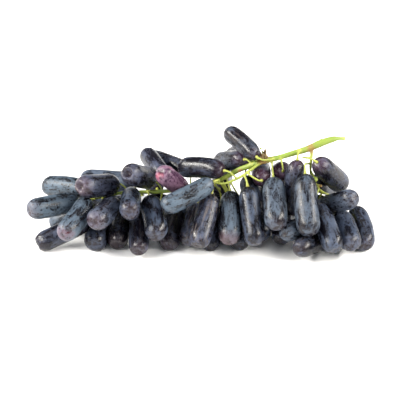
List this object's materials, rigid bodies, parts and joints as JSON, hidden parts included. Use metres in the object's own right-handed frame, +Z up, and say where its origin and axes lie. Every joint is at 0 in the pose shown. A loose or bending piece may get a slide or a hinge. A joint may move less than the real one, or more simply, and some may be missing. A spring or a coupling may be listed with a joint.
{
  "type": "bunch of grapes",
  "caption": "Bunch of long dark table grapes lying on its side, berries held on a branched green stem with a cut stalk.",
  "frame": {"origin": "on the table under the middle of the bunch", "axes": "+X along the bunch towards the cut end of the stalk, +Y from its front to its back, +Z up"},
  "size_m": [0.2422, 0.1124, 0.0722],
  "materials": {
    "ripe_skin": "blue-black grape skin, thin waxy bloom rubbed off in specks, soft long highlights",
    "dusty_skin": "blue-black grape skin under a thick pale blue waxy bloom, matt",
    "blush_skin": "grape skin that is still red to pink in part, thin waxy bloom",
    "green_stem": "fresh yellow-green stem, browner at its nodes and roots, satin"
  },
  "bodies": {
    "root": {"stem": "green_stem", "berry_01": "dusty_skin", "berry_02": "dusty_skin", "berry_03": "ripe_skin", "berry_04": "dusty_skin", "berry_05": "dusty_skin", "berry_06": "dusty_skin", "berry_07": "ripe_skin", "berry_08": "dusty_skin", "berry_09": "ripe_skin", "berry_10": "ripe_skin", "berry_11": "ripe_skin", "berry_12": "ripe_skin", "berry_13": "ripe_skin", "berry_14": "ripe_skin", "berry_15": "ripe_skin", "berry_16": "ripe_skin", "berry_17": "ripe_skin", "berry_18": "blush_skin", "berry_19": "ripe_skin", "berry_20": "dusty_skin", "berry_21": "ripe_skin", "berry_22": "ripe_skin", "berry_23": "ripe_skin", "berry_24": "dusty_skin", "berry_25": "ripe_skin", "berry_26": "dusty_skin", "berry_27": "ripe_skin", "berry_28": "ripe_skin", "berry_29": "ripe_skin", "berry_30": "dusty_skin", "berry_31": "ripe_skin", "berry_32": "dusty_skin", "berry_33": "ripe_skin", "berry_34": "blush_skin", "berry_35": "ripe_skin", "berry_36": "ripe_skin", "berry_37": "dusty_skin", "berry_38": "dusty_skin", "berry_39": "dusty_skin", "berry_40": "ripe_skin", "berry_41": "dusty_skin", "berry_42": "ripe_skin", "berry_43": "ripe_skin", "berry_44": "ripe_skin", "berry_45": "ripe_skin", "berry_46": "ripe_skin", "berry_47": "ripe_skin", "berry_48": "ripe_skin", "berry_49": "ripe_skin", "berry_50": "ripe_skin", "berry_51": "ripe_skin", "berry_52": "ripe_skin", "berry_53": "ripe_skin", "berry_54": "ripe_skin", "berry_55": "ripe_skin", "berry_56": "ripe_skin"}
  },
  "joints": []
}
